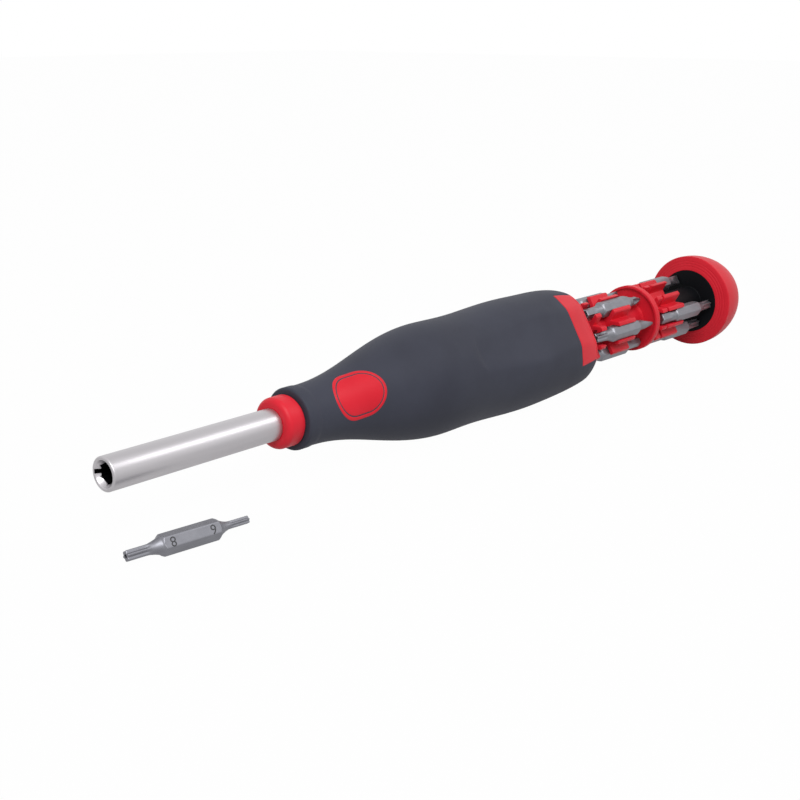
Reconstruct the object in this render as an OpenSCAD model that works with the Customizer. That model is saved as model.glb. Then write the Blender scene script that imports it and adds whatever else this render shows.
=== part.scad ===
// Pocket screwdriver with a pull-out bit magazine, shown with the magazine drawn right out.
// The driver lies along +X from the mouth of its bit socket, the origin, to its cap. +Z is up.
// A turn of 0 degrees about the driver's axis points straight up, and 90 degrees points to -Y.

/* [Bits] */
// Width of a bit across its flats
bit_af = 4; // [3.6:0.1:4.2]
// Whole length of a double-ended bit
bit_l = 28; // [27:0.5:30]
// Length of the hexagonal middle of a bit
bit_hex_l = 13.5; // [12:0.5:14.5]
// Length of the hollow taper from the hexagon down to a tip
bit_taper_l = 2.6; // [2:0.1:3.2]
// Width of the thickest tips, at the front of the rear row
thick_tip_d = 3.4; // [3:0.1:3.4]
// Width of a thick tip
tip_d = 2.8; // [2.4:0.1:3]
// Width of a middling tip
mid_tip_d = 2.3; // [2:0.1:2.6]
// Width of a thin tip
thin_tip_d = 1.7; // [1.5:0.1:2]
// Length over which a cross runs to its point
cross_point_l = 3.4; // [2:0.1:4]
// Width of the hole in the end of a drilled tip
tip_hole_d = 0.8; // [0.6:0.1:0.9]
// Gap between a bit and the sides of its clip or socket
bit_gap = 0.05; // [0.02:0.01:0.08]

/* [Shaft] */
// Outer diameter of the shaft
shaft_d = 7.2; // [6.8:0.1:7.8]
// Bare length of the shaft in front of the collar
shaft_reach = 44; // [36:1:50]
// Length of the thinner tang held in the handle
shaft_hold = 32; // [26:1:34]
// Height of the shoulder between the shaft and its tang
shoulder = 0.3; // [0.2:0.05:0.4]
// Rounding of the shaft's front rim
shaft_round = 0.35; // [0.2:0.05:0.5]
// Depth of the hexagonal socket
socket_depth = 18; // [16:0.5:22]
// Width of the countersink at the mouth of the socket
mouth_d = 5.8; // [5.4:0.1:6]
// Depth of the countersink
mouth_depth = 1.2; // [0.8:0.1:1.6]
// Width of the notch that opens one side of the mouth
notch_w = 0.9; // [0.6:0.1:1.2]
// Length of the notch along the shaft
notch_l = 3; // [2:0.5:5]
// Diameter of the magnet behind the socket
magnet_d = 3.8; // [3.2:0.1:3.8]
// Length of the magnet
magnet_l = 5; // [3:0.5:8]

/* [Handle] */
// Length of the nose collar
collar_l = 4.5; // [3.5:0.5:6]
// Diameter of the nose collar
collar_d = 11.5; // [11:0.1:12.2]
// Rounding of the collar's front edge
collar_round = 1.3; // [0.5:0.1:1.6]
// Width of the groove between the collar and the grip
groove_l = 0.5; // [0.3:0.1:1]
// Diameter of the core at the bottom of that groove
groove_d = 10.4; // [9.8:0.1:10.8]
// Length of the lip at the front of the grip
lip_l = 2.5; // [2:0.5:4]
// Diameter of the lip
lip_d = 14.1; // [14:0.1:15]
// Rounding of the lip's front edge
lip_round = 0.6; // [0.3:0.1:1]
// Length of the step from the lip down to the neck
step_l = 1.5; // [1.5:0.5:3]
// Diameter of the neck
neck_d = 13.8; // [13.4:0.1:14]
// Length of the flare from the neck to the belly
flare_l = 42; // [38:1:46]
// Diameter of the belly
belly_d = 27.8; // [27.4:0.1:28.4]
// Length from the belly to the waist
waist_l = 9; // [7:1:12]
// Diameter of the waist
waist_d = 27.6; // [27.2:0.1:28]
// Reach of the magazine's hollow ahead of the belly
hollow_lead = 14.77; // [13:0.01:16]
// Diameter of the rear swelling
swell_d = 29.3; // [28.6:0.1:30]
// Length from the rear swelling to the start of the rounded end
tail_l = 12; // [10:1:15]
// Diameter at the start of the rounded end
tail_d = 29; // [28.4:0.1:29.6]
// Length of the rounded end
round_l = 12.2; // [11:0.1:14]
// Diameter of the rear face
end_d = 25; // [24:0.1:26]
// Thickness of the ring that closes the rear end
end_ring_l = 0.8; // [0.7:0.1:1.2]
// Thinnest grip over the core
grip_wall = 0.9; // [0.8:0.1:1.1]
// Wall of the core round the magazine
core_wall = 0.9; // [0.7:0.1:1]
// Distance of the three thumb flats from the axis
flat_dist = 13.25; // [13.1:0.05:13.6]
// Width of the strip that takes off a thumb flat, wider than the flat
flat_w = 17; // [16:0.5:19]
// Reach of a thumb flat's round front end ahead of the waist
flat_lead = 4; // [2:0.5:7]
// Length over which a thumb flat falls away at the rear
fall_l = 20; // [18:1:22]
// Depth of that fall
fall_depth = 2.5; // [2:0.05:2.7]
// Turn of the softer shoulders beside a flat, measured from the flat
shoulder_turn = 24; // [20:1:28]
// Length over which the shoulders fall away
shoulder_l = 30; // [26:0.5:32]
// Depth to which the shoulders fall below the start of the rounded end
shoulder_depth = 2.4; // [2:0.05:2.6]
// Length of the core's window at the rear of each flat
window_l = 8.2; // [7:0.1:10]
// Angle that a window covers round the handle
window_deg = 90; // [70:5:100]
// Length of the inlaid badge
badge_l = 14; // [12:0.5:15]
// Width of the inlaid badge
badge_w = 11; // [8:0.5:11.5]
// Distance of the badge's middle behind the start of the flare
badge_pos = 11.5; // [9:0.5:14]

/* [Magazine] */
// Diameter of the ring on which the bits lie
bit_ring_d = 14.4; // [14.2:0.1:14.8]
// Gap between the rear face of the handle and the front row of bits
row_lead = 6.2; // [5:0.1:7]
// Gap between a row of bits and the disc behind it
bit_end_gap = 0.4; // [0.2:0.1:0.8]
// Gap between the middle disc and the rear row of bits
row_gap = 3.4; // [3:0.1:5]
// Thickness of the middle disc
disc_l = 2; // [1.6:0.1:3]
// Width of the raised rim on the middle disc
disc_rim_w = 0.8; // [0.6:0.1:1.2]
// Height of that rim
disc_rim_l = 0.6; // [0.3:0.1:1]
// Thickness of the guide disc at the front of the magazine
guide_l = 1.6; // [1.4:0.1:2]
// Diameter of the guide's sleeve
guide_sleeve_d = 10.6; // [9.6:0.1:11]
// Step of the guide disc over the mouth that stops it
stop_step = 0.3; // [0.25:0.05:0.4]
// Diameter of the spindle
spindle_d = 5; // [4:0.1:6]
// Diameter of the spindle's head
head_d = 8.4; // [7.6:0.1:10]
// Thickness of the spindle's head
head_l = 1; // [0.8:0.1:1.6]
// Diameter of a bit holder's hub
hub_d = 9.2; // [8.6:0.1:9.4]
// Thickness of a clip finger beside a bit
finger_w = 1.15; // [0.9:0.05:1.4]
// Diameter over the clip fingers
finger_d = 18.2; // [17.4:0.1:18.6]
// Length of the clips that hold the hexagons
clip_l = 8.5; // [7:0.5:10]
// Distance of the front clips' middle behind the bits' middle
clip_shift = 0.3; // [0:0.1:1.5]
// Distance of the rear clips' middle ahead of the bits' middle
rear_clip_lead = 7; // [6:0.1:8]
// Thickness of the fins that hold the front tips
fin_l = 2.5; // [1.5:0.1:3]
// Distance of the front fins' middle ahead of the bits' middle
fin_lead = 11.5; // [10.5:0.1:12]
// Distance of the rear fins' middle ahead of the bits' middle
rear_fin_lead = 13.5; // [13:0.1:14]

/* [Cap] */
// Diameter of the cap
cap_d = 27.4; // [26.4:0.1:27.8]
// Slope of the cap's front face, measured along the axis
cap_slope = 0.9; // [0.6:0.1:1.4]
// Width of the flat band round the cap's rim
cap_band_l = 0.6; // [0.4:0.1:1]
// Length of the cap's dome behind that band
dome_l = 17.8; // [15:0.1:19]
// Wall of the cap
cap_wall = 2.2; // [1.8:0.1:2.6]
// Diameter of the cap's insert
insert_d = 19; // [18:0.1:19.6]
// Thickness of the cap's insert
insert_l = 2.9; // [2.5:0.1:3.4]
// Diameter of the boss that holds the spindle in the cap
boss_d = 10; // [9:0.1:11]
// Length of the spindle held in that boss
boss_hold = 7; // [6:0.5:8]
// Diameter of the sleeve on the front of the insert
insert_sleeve_d = 9; // [8:0.1:9.6]

/* [Loose bit] */
// Distance of the loose bit's middle behind the tip of the shaft
loose_x = 9; // [4:0.5:16]
// Distance of the loose bit's middle to the side of the shaft
loose_side = 13.7; // [11:0.1:18]
// Turn of the loose bit on the surface
loose_turn = -5.6; // [-15:0.1:15]

/* [Fits] */
// Gap between pieces that are moulded or pressed together
seat_gap = 0.03; // [0.02:0.01:0.05]
// Radial gap of a running or sliding fit
running_gap = 0.06; // [0.03:0.01:0.09]
// Gap beside pieces that pass each other freely
free_gap = 0.3; // [0.25:0.05:0.4]
// End gap between pieces that stop each other
stop_gap = 0.1; // [0.05:0.05:0.2]

/* [Hidden] */
$fn = 96;
bits_per_row = 6;
row_turn = 360 / bits_per_row;
first_bit_turn = 30;
FRONT_PLACES = [0, 1, 2, 3, 4, 5];
REAR_PLACES = [1, 2, 3, 4, 5];
FRONT_NODES = [for (i = FRONT_PLACES) str("front_bit_", i + 1)];
REAR_NODES = [for (i = REAR_PLACES) str("rear_bit_", i)];
FIXED_NODES = [
    "shaft", "bit_magnet", "handle_core", "grip_sleeve", "end_ring", "guide", "spindle",
    "front_bit_holder", "middle_disc", "rear_bit_holder", "cap_insert", "cap_dome", "loose_bit"
];

// Kind of tip at the front and at the rear of each bit, in the order of the places round the row
FRONT_TIPS = [
    ["hex", "cross"], ["star", "slot"], ["hex", "hex"], ["star", "star"], ["hex", "hex"], ["star", "slot"]
];
REAR_TIPS = [
    ["star", "star"], ["hex", "star"], ["hex", "star"], ["star", "cross"], ["star", "hex"], ["hex", "slot"]
];

// One overrun that carries every cut past its faces
over = 1;

// Bits
bit_corner_r = bit_af / 2 / cos(30);
bit_root_share = 0.86;
bit_root_r = bit_af / 2 * bit_root_share;
bit_chamfer_l = bit_corner_r - bit_root_r;
bit_tip_l = (bit_l - bit_hex_l) / 2;
flute_share = 0.2;
flute_place_share = 0.58;
flute_count = 6;
blade_end_share = 0.2;
cross_web_share = 0.26;
cross_point_share = 0.3;

// Radii that fit each other round the magazine
pitch_r = bit_ring_d / 2;
disc_r = pitch_r + bit_corner_r;
opening_r = disc_r + free_gap;
guide_r = opening_r + stop_step;
cavity_r = guide_r + running_gap;
core_r = cavity_r + core_wall;

// The cap shuts against the rear face, and that gives the travel of the two rows of bits
rows_l = row_lead + disc_l + row_gap + 2 * (bit_l + bit_end_gap);
cap_face_l = cap_slope * (opening_r - insert_d / 2) / (cap_d / 2 - insert_d / 2);
travel = rows_l + cap_face_l - free_gap;

// The hollow of the handle takes the guide and that travel, and a narrower bore takes the spindle's head
guide_lead = end_ring_l + stop_gap + guide_l;
head_room = head_l + stop_gap;
hollow_l = guide_lead + travel + free_gap;
swell_l = hollow_l - hollow_lead - waist_l - tail_l - round_l;

// Stations along the axis, from the tip of the shaft to the rear of the handle
collar_x = shaft_reach;
shaft_l = shaft_reach + shaft_hold;
tang_d = shaft_d - 2 * shoulder;
groove_x = collar_x + collar_l;
grip_x = groove_x + groove_l;
lip_end_x = grip_x + lip_l;
neck_x = lip_end_x + step_l;
belly_x = neck_x + flare_l;
waist_x = belly_x + waist_l;
swell_x = waist_x + swell_l;
tail_x = swell_x + tail_l;
handle_l = tail_x + round_l;
core_end_x = handle_l - end_ring_l;
cavity_x = handle_l - hollow_l;

// Stations of the magazine when it is drawn right out
guide_x = handle_l - guide_lead;
head_x = guide_x - head_room;
front_bits_x = handle_l + row_lead;
front_mid_x = front_bits_x + bit_l / 2;
disc_x = front_bits_x + bit_l + bit_end_gap;
rear_holder_x = disc_x + disc_l;
rear_bits_x = rear_holder_x + row_gap;
rear_mid_x = rear_bits_x + bit_l / 2;
insert_x = handle_l + rows_l;
front_holder_x = front_mid_x - fin_lead - fin_l / 2;
rear_holder_end_x = rear_mid_x - rear_clip_lead + clip_l / 2 + fin_l / 2;
rim_x = insert_x + cap_slope;
dome_x = rim_x + cap_band_l;
cap_l = dome_x + dome_l;
boss_x = insert_x + insert_l;
spindle_end_x = boss_x + boss_hold;

// Each flat has a window, and the badge stands before the first one
flat_turns = [60, 180, 300];
shoulder_dist = tail_d / 2 + free_gap;
shoulder_fall = shoulder_depth + free_gap;
badge_turn = flat_turns[0];
rest_z = -max(belly_d, cap_d) / 2;

// Turn of the seam of the handle's round form, so that the belly lies on a facet and not on an edge
seam_turn = 2.25;

// Points of a smooth run from one radius to another, without its first point
function eased(x0, d0, x1, d1, steps) = [
    for (i = [1 : steps])
        let (t = i / steps)
            [(d0 + (d1 - d0) * (1 - cos(180 * t)) / 2) / 2, x0 + (x1 - x0) * t]
];

// Points of a quarter ellipse that closes from a diameter down to another, without its first point
function rounded_end(x0, d0, l, d1, steps) = [
    for (i = [1 : steps])
        let (a = 90 * i / steps)
            [(d1 + (d0 - d1) * cos(a)) / 2, x0 + l * sin(a)]
];

// Points of a quarter round on a front edge, outwards and back
function front_edge(x0, d, r, steps) = [
    for (i = [0 : steps])
        let (a = 90 * i / steps)
            [d / 2 - r + r * sin(a), x0 + r - r * cos(a)]
];

handle_outline = concat(
    [[0, grip_x]],
    front_edge(grip_x, lip_d, lip_round, 4),
    [[lip_d / 2, lip_end_x]],
    eased(lip_end_x, lip_d, neck_x, neck_d, 4),
    eased(neck_x, neck_d, belly_x, belly_d, 16),
    eased(belly_x, belly_d, waist_x, waist_d, 3),
    eased(waist_x, waist_d, swell_x, swell_d, 7),
    eased(swell_x, swell_d, tail_x, tail_d, 3),
    rounded_end(tail_x, tail_d, round_l, end_d, 10),
    [[0, handle_l]]
);

// Outline of the core under the grip, a given gap larger than the core itself, before its rear end is cut
function core_outline(gap) = concat(
    [[0, grip_x], [groove_d / 2 + gap, grip_x], [groove_d / 2 + gap, neck_x]],
    [for (p = eased(neck_x, neck_d, belly_x, belly_d, 16)) [min(core_r, p[0] - grip_wall) + gap, p[1]]],
    [[core_r + gap, handle_l], [0, handle_l]]
);

// Lays a shape that stands on the XY plane along the driver's axis
module lengthwise() {
    rotate([0, 90, 0])
        children();
}

module turned(outline) {
    lengthwise()
        rotate_extrude()
            polygon(outline);
}

// Round bar along the axis between two stations
module bar(x0, x1, d) {
    translate([x0, 0, 0])
        lengthwise()
            cylinder(h = x1 - x0, d = d);
}

// Long shape with round ends, in plan
module pill(l, w) {
    square([l - w, w], center = true);
    for (side = [-1, 1])
        translate([side * (l - w) / 2, 0])
            circle(d = w);
}

// Cutter for a flat at a given distance: a strip with a round front end that falls away along a parabola
module flat_cutter(turn, dist, depth, l, steps) {
    fall_x = handle_l + over - l;
    fall = [
        for (i = [0 : steps])
            let (t = i / steps)
                [fall_x + l * t, dist - depth * t * t]
    ];
    rotate([turn, 0, 0])
        intersection() {
            translate([waist_x - flat_lead + flat_w / 2, 0, 0])
                linear_extrude(height = swell_d) {
                    circle(d = flat_w);
                    translate([0, -flat_w / 2])
                        square([handle_l, flat_w]);
                }
            rotate([90, 0, 0])
                linear_extrude(height = 2 * flat_w, center = true)
                    polygon(concat(
                        [[neck_x, swell_d], [neck_x, dist]],
                        fall,
                        [[handle_l + over, swell_d]]
                    ));
        }
}

// Whole outer form of the handle behind the groove
module handle_form() {
    difference() {
        rotate([seam_turn, 0, 0])
            turned(handle_outline);
        for (turn = flat_turns) {
            flat_cutter(turn, flat_dist, fall_depth, fall_l, 5);
            for (side = [-1, 1])
                flat_cutter(turn + side * shoulder_turn, shoulder_dist, shoulder_fall, shoulder_l, 4);
        }
    }
}

// Sectors of the handle that the windows take, a given gap larger all round
module window_sectors(gap) {
    half = window_deg / 2;
    side = swell_d;
    for (turn = flat_turns)
        rotate([turn, 0, 0])
            translate([core_end_x - window_l - gap, 0, -gap / sin(half)])
                rotate([90, 0, 90])
                    linear_extrude(height = handle_l)
                        polygon([[0, 0], [side * tan(half), side], [-side * tan(half), side]]);
}

// Upright prism of the badge, a given gap larger all round
module badge_prism(gap) {
    rotate([badge_turn, 0, 0])
        translate([neck_x + badge_pos, 0, 0])
            linear_extrude(height = swell_d)
                pill(badge_l + 2 * gap, badge_w + 2 * gap);
}

// Slab that holds everything behind the core's rear face
module rear_slab() {
    translate([core_end_x, -swell_d, -swell_d])
        cube([handle_l, 2 * swell_d, 2 * swell_d]);
}

// Hexagonal bar along +X, with one corner up
module hex_bar(l, af) {
    lengthwise()
        cylinder(h = l, r = af / 2 / cos(30), $fn = 6);
}

// Tip with a plain round end
module round_tip(d, l) {
    lengthwise()
        cylinder(h = l, d = d);
}

// Tip with six lobes
module star_tip(d, l) {
    difference() {
        round_tip(d, l);
        for (i = [0 : flute_count - 1])
            rotate([i * 360 / flute_count, 0, 0])
                translate([0, 0, d * flute_place_share])
                    round_tip(d * flute_share, l + over);
    }
}

// Flat blade that thins towards its end
module slot_tip(d, l) {
    root = d / 2;
    end = d * blade_end_share / 2;
    intersection() {
        round_tip(d, l);
        linear_extrude(height = d, center = true)
            polygon([[0, -root], [l, -end], [l, end], [0, root]]);
    }
}

// Cross with four webs that run to a point
module cross_tip(d, l) {
    web = d * cross_web_share;
    outline = [[0, 0], [d / 2, 0], [d / 2, l - cross_point_l], [d / 2 * cross_point_share, l], [0, l]];
    intersection() {
        turned(outline);
        union() {
            translate([0, -web / 2, -d / 2])
                cube([l, web, d]);
            translate([0, -d / 2, -web / 2])
                cube([l, d, web]);
        }
    }
}

module hex_tip(d, l) {
    hex_bar(l, d * cos(30));
}

module tip(kind, d, l) {
    if (kind == "star")
        star_tip(d, l);
    else if (kind == "slot")
        slot_tip(d, l);
    else if (kind == "cross")
        cross_tip(d, l);
    else
        hex_tip(d, l);
}

// One end of a bit: the hollow taper and then the tip, from the hexagon outwards
module bit_end(kind, d) {
    taper = [
        for (i = [0 : 5])
            let (t = i / 5)
                [d / 2 + (bit_root_r - d / 2) * (1 - sin(90 * t)), bit_taper_l * t]
    ];
    turned(concat([[0, -over]], [[taper[0][0], -over]], taper, [[0, bit_taper_l]]));
    translate([bit_taper_l, 0, 0])
        tip(kind, d, bit_tip_l - bit_taper_l);
}

// Double-ended bit about its middle, with one corner up
module double_bit(kinds, widths) {
    half = bit_hex_l / 2;
    intersection() {
        translate([-half, 0, 0])
            hex_bar(bit_hex_l, bit_af);
        turned([
            [0, -half], [bit_root_r, -half], [bit_corner_r, bit_chamfer_l - half],
            [bit_corner_r, half - bit_chamfer_l], [bit_root_r, half], [0, half]
        ]);
    }
    translate([half, 0, 0])
        bit_end(kinds[1], widths[1]);
    rotate([0, 0, 180])
        translate([half, 0, 0])
            bit_end(kinds[0], widths[0]);
}

// Carries a bit to one place of a row
module at_place(place, mid_x) {
    rotate([first_bit_turn + row_turn * place, 0, 0])
        translate([mid_x, 0, pitch_r])
            children();
}

module front_bit(place) {
    color("slategray")
        at_place(place, front_mid_x)
            double_bit(FRONT_TIPS[place], [tip_d, tip_d]);
}

module rear_bit(place) {
    color("slategray")
        at_place(place, rear_mid_x)
            double_bit(REAR_TIPS[place], [thick_tip_d, tip_d]);
}

// Star of clips between two stations: blocks beside the bits, with a slot for each
module clip_star(x0, l) {
    slot_w = bit_af + 2 * bit_gap;
    block_w = slot_w + 2 * finger_w;
    difference() {
        intersection() {
            bar(x0, x0 + l, finger_d);
            for (i = [0 : bits_per_row - 1])
                rotate([first_bit_turn + row_turn * i, 0, 0])
                    translate([x0, -block_w / 2, 0])
                        cube([l, block_w, finger_d]);
        }
        for (i = [0 : bits_per_row - 1])
            rotate([first_bit_turn + row_turn * i, 0, 0]) {
                translate([x0 - over, 0, pitch_r])
                    hex_bar(l + 2 * over, slot_w);
                translate([x0 - over, -slot_w / 2, pitch_r])
                    cube([l + 2 * over, slot_w, finger_d]);
            }
    }
}

// Hub with a fin star and a clip star about their middles, bored for the spindle
module bit_holder(x0, x1, fin_x, clip_x) {
    difference() {
        union() {
            bar(x0, x1, hub_d);
            clip_star(fin_x - fin_l / 2, fin_l);
            clip_star(clip_x - clip_l / 2, clip_l);
        }
        bar(x0 - over, x1 + over, spindle_d + 2 * seat_gap);
    }
}

module shaft() {
    socket_w = bit_af + 2 * bit_gap;
    shoulder_x = collar_x - seat_gap;
    color("silver")
        difference() {
            turned(concat(
                front_edge(0, shaft_d, shaft_round, 3),
                [[shaft_d / 2, shoulder_x], [tang_d / 2, shoulder_x]],
                [[tang_d / 2, shaft_l], [0, shaft_l], [0, 0]]
            ));
            translate([-over, 0, 0])
                hex_bar(socket_depth + over, socket_w);
            bar(socket_depth - over, socket_depth + magnet_l, magnet_d + 2 * seat_gap);
            turned([[0, 0], [mouth_d / 2, 0], [bit_af / 2, mouth_depth], [0, mouth_depth]]);
            // Notch in the side of the mouth
            translate([-over, 0, -notch_w / 2])
                cube([notch_l + over, mouth_d / 2, notch_w]);
        }
}

module bit_magnet() {
    color("dimgray")
        bar(socket_depth, socket_depth + magnet_l - seat_gap, magnet_d);
}

module handle_core() {
    color("crimson")
        difference() {
            union() {
                turned(concat(
                    [[0, collar_x]],
                    front_edge(collar_x, collar_d, collar_round, 4),
                    [[collar_d / 2, groove_x], [groove_d / 2, groove_x], [groove_d / 2, grip_x], [0, grip_x]]
                ));
                turned(core_outline(0));
                intersection() {
                    handle_form();
                    union() {
                        window_sectors(0);
                        badge_prism(0);
                    }
                }
            }
            rear_slab();
            bar(collar_x - over, shaft_l + seat_gap, tang_d + 2 * seat_gap);
            bar(cavity_x, core_end_x + over, 2 * cavity_r);
            bar(cavity_x - head_room, cavity_x + over, head_d + 2 * free_gap);
        }
}

module grip_sleeve() {
    color("darkslategray")
        difference() {
            handle_form();
            turned(core_outline(seat_gap));
            window_sectors(seat_gap);
            badge_prism(seat_gap);
            rear_slab();
        }
}

module end_ring() {
    color("crimson")
        difference() {
            intersection() {
                handle_form();
                rear_slab();
            }
            bar(core_end_x - over, handle_l + over, 2 * opening_r);
        }
}

module guide() {
    color("black")
        difference() {
            union() {
                bar(guide_x, guide_x + guide_l, 2 * guide_r);
                bar(guide_x, front_holder_x - stop_gap, guide_sleeve_d);
            }
            bar(guide_x - over, front_holder_x + over, spindle_d + 2 * running_gap);
        }
}

module spindle() {
    color("crimson") {
        bar(head_x, head_x + head_l, head_d);
        bar(head_x, spindle_end_x, spindle_d);
    }
}

module front_bit_holder() {
    color("crimson")
        bit_holder(front_holder_x, disc_x, front_mid_x - fin_lead, front_mid_x + clip_shift);
}

module rear_bit_holder() {
    color("crimson")
        bit_holder(rear_holder_x, rear_holder_end_x, rear_mid_x - rear_fin_lead, rear_mid_x - rear_clip_lead);
}

module middle_disc() {
    color("crimson")
        difference() {
            bar(disc_x, disc_x + disc_l, 2 * disc_r);
            difference() {
                bar(disc_x - over, disc_x + disc_rim_l, 2 * (disc_r - disc_rim_w));
                bar(disc_x - 2 * over, disc_x + over, hub_d);
            }
            bar(disc_x - over, disc_x + disc_l + over, spindle_d + 2 * seat_gap);
        }
}

module cap_insert() {
    color("black")
        difference() {
            union() {
                bar(insert_x, boss_x, insert_d);
                bar(rear_holder_end_x, boss_x, insert_sleeve_d);
            }
            bar(rear_holder_end_x - over, boss_x + over, spindle_d + 2 * seat_gap);
        }
}

module cap_dome() {
    inner_l = dome_l - cap_wall;
    inner_d = cap_d - 2 * cap_wall;
    color("crimson")
        difference() {
            turned(concat(
                [[0, insert_x], [insert_d / 2, insert_x], [cap_d / 2, rim_x], [cap_d / 2, dome_x]],
                rounded_end(dome_x, cap_d, dome_l, 0, 14)
            ));
            bar(insert_x - over, boss_x, insert_d + 2 * seat_gap);
            difference() {
                turned(concat(
                    [[0, boss_x], [insert_d / 2, boss_x], [inner_d / 2, dome_x + cap_wall]],
                    rounded_end(dome_x + cap_wall, inner_d, inner_l - cap_wall, 0, 10)
                ));
                bar(boss_x - over, cap_l, boss_d);
            }
            bar(boss_x - over, spindle_end_x + seat_gap, spindle_d + 2 * seat_gap);
        }
}

// The loose bit lies on one flat, on the surface under the belly
module loose_bit() {
    color("slategray")
        translate([loose_x, -loose_side, rest_z + bit_af / 2])
            rotate([30, 0, loose_turn])
                difference() {
                    double_bit(["star", "star"], [mid_tip_d, thin_tip_d]);
                    bar(-bit_l / 2 - over, bit_taper_l - bit_l / 2, tip_hole_d);
                    bar(bit_l / 2 - bit_taper_l, bit_l / 2 + over, tip_hole_d);
                }
}

shaft();
bit_magnet();
handle_core();
grip_sleeve();
end_ring();
guide();
spindle();
front_bit_holder();
middle_disc();
rear_bit_holder();
cap_insert();
cap_dome();
loose_bit();
for (i = FRONT_PLACES)
    front_bit(i);
for (i = REAR_PLACES)
    rear_bit(i);
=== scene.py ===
"""Pocket screwdriver with a pull-out bit magazine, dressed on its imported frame.

The driver lies along +X from the mouth of its bit socket, the origin, to its cap. +Z is up.
A turn of 0 degrees about the driver's axis points up, and 90 degrees points to -Y.
Sizes are millimetres, which `add_piece` turns into metres. The studio is set out in metres.
"""

import logging
import math
from dataclasses import dataclass
from enum import Enum

import bpy
import numpy as np
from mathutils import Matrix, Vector


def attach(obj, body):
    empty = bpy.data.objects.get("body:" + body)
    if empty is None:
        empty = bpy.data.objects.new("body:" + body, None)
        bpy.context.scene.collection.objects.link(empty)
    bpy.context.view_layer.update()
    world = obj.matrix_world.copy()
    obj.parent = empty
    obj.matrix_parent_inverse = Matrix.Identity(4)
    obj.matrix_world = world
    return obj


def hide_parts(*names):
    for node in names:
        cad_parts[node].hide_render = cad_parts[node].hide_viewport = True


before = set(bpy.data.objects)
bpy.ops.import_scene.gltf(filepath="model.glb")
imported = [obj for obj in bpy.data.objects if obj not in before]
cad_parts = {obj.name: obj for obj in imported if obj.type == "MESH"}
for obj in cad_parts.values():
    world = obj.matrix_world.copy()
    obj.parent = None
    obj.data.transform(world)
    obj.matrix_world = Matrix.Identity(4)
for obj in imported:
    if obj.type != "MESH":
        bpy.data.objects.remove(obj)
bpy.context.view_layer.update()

Array = np.ndarray
Rows = list[list[float]]
Colour = tuple[float, float, float]
Point = tuple[float, float, float]
Pair = tuple[float, float]
Socket = bpy.types.NodeSocket
Inputs = dict[str | int, float | tuple[float, ...] | Socket]
MM = 0.001
WHITE = (1.0, 1.0, 1.0, 1.0)
LOG = logging.getLogger("screwdriver")

# Largest share of a side that the rounding at one of its ends takes
ROUND_SHARE = 0.45
# Smallest divisor, which keeps a division clear of zero
TINY = 1e-6
# Degrees from a corner of a hexagon to the middle of its side
HALF_SIDE = 30.0
# Edges that bend by more degrees than this are shaded sharp
SHARP_TURN = 32.0


# Shapes worked out as whole arrays


@dataclass
class Surface:
    """Points in millimetres, and blocks of faces that have the same number of corners."""

    points: Array
    faces: list[Array]

    def __add__(self, other: "Surface") -> "Surface":
        """Both surfaces as one."""
        moved = [block + len(self.points) for block in other.faces]
        return Surface(np.concatenate([self.points, other.points]), self.faces + moved)


def smooth_step(low: float, high: float, value: Array) -> Array:
    """Rise from 0 at low to 1 at high along the cubic 3t^2 - 2t^3."""
    share = np.clip((value - low) / (high - low), 0, 1)
    return share * share * (3 - 2 * share)


def soft_min(first: Array, second: Array, width: float) -> Array:
    """Smaller of two values, rounded by a parabola where they differ by less than the width."""
    near = np.clip(width - np.abs(first - second), 0, None) / width
    return np.minimum(first, second) - near * near * width / 4


def polygon_radius(flat: float, sides: int, turn: Array) -> Array:
    """Radius of a polygon with a corner at turn 0: its flat over the cosine to the nearest normal."""
    step = 2 * np.pi / sides
    return flat / np.cos(np.mod(turn, step) - step / 2)


def full_turn(columns: int) -> Array:
    """Turns in radians of the places on a ring, as one row."""
    return np.linspace(0, 2 * np.pi, columns, endpoint=False)[None]


def edge_fall(inside: Array, depth: float, width: float) -> Array:
    """Fall of a rounded edge along a parabola: the depth at the edge, and none from a width inside it."""
    return depth * (1 - np.clip(inside / width, 0, 1)) ** 2


def front_round(x: float, radius: float, size: float, steps: int) -> Array:
    """Rows of station and radius on the quarter circle that rounds the front edge at (x, radius)."""
    a = np.linspace(0, np.pi / 2, steps)
    return np.stack([x + size * (1 - np.cos(a)), radius - size * (1 - np.sin(a))], -1)


def stepped(*levels: float) -> Rows:
    """Corners of steps from one radius to the next: radius, station, radius and so on to a radius."""
    radii, stations = levels[::2], levels[1::2]
    return [[x, radius] for step, x in enumerate(stations) for radius in radii[step:step + 2]]


def soften(corners: Array | Rows, setback: Array | float, steps: int = 5, loop: bool = False) -> Array:
    """Round the corners of an outline with parabolas that start and stop at a setback.

    Args:
        corners: outline points, one row each.
        setback: distance from each corner at which its rounding starts.
        steps: points on each rounding.
        loop: whether the outline closes on itself. An open one keeps its end points.

    Returns:
        The outline with each corner replaced by its rounding.
    """
    points = np.asarray(corners, float)
    middle = points if loop else points[1:-1]
    back = (np.roll(points, 1, axis=0) if loop else points[:-2]) - middle
    ahead = (np.roll(points, -1, axis=0) if loop else points[2:]) - middle
    back_l = np.linalg.norm(back, axis=1)
    ahead_l = np.linalg.norm(ahead, axis=1)
    reach = np.minimum(setback, ROUND_SHARE * np.minimum(back_l, ahead_l))
    start = middle + back * (reach / back_l)[:, None]
    stop = middle + ahead * (reach / ahead_l)[:, None]
    t = np.linspace(0, 1, steps)[None, :, None]
    arcs = (1 - t) ** 2 * start[:, None] + 2 * t * (1 - t) * middle[:, None] + t * t * stop[:, None]
    rounded = arcs.reshape(-1, 2)
    return rounded if loop else np.concatenate([points[:1], rounded, points[-1:]])


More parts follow.
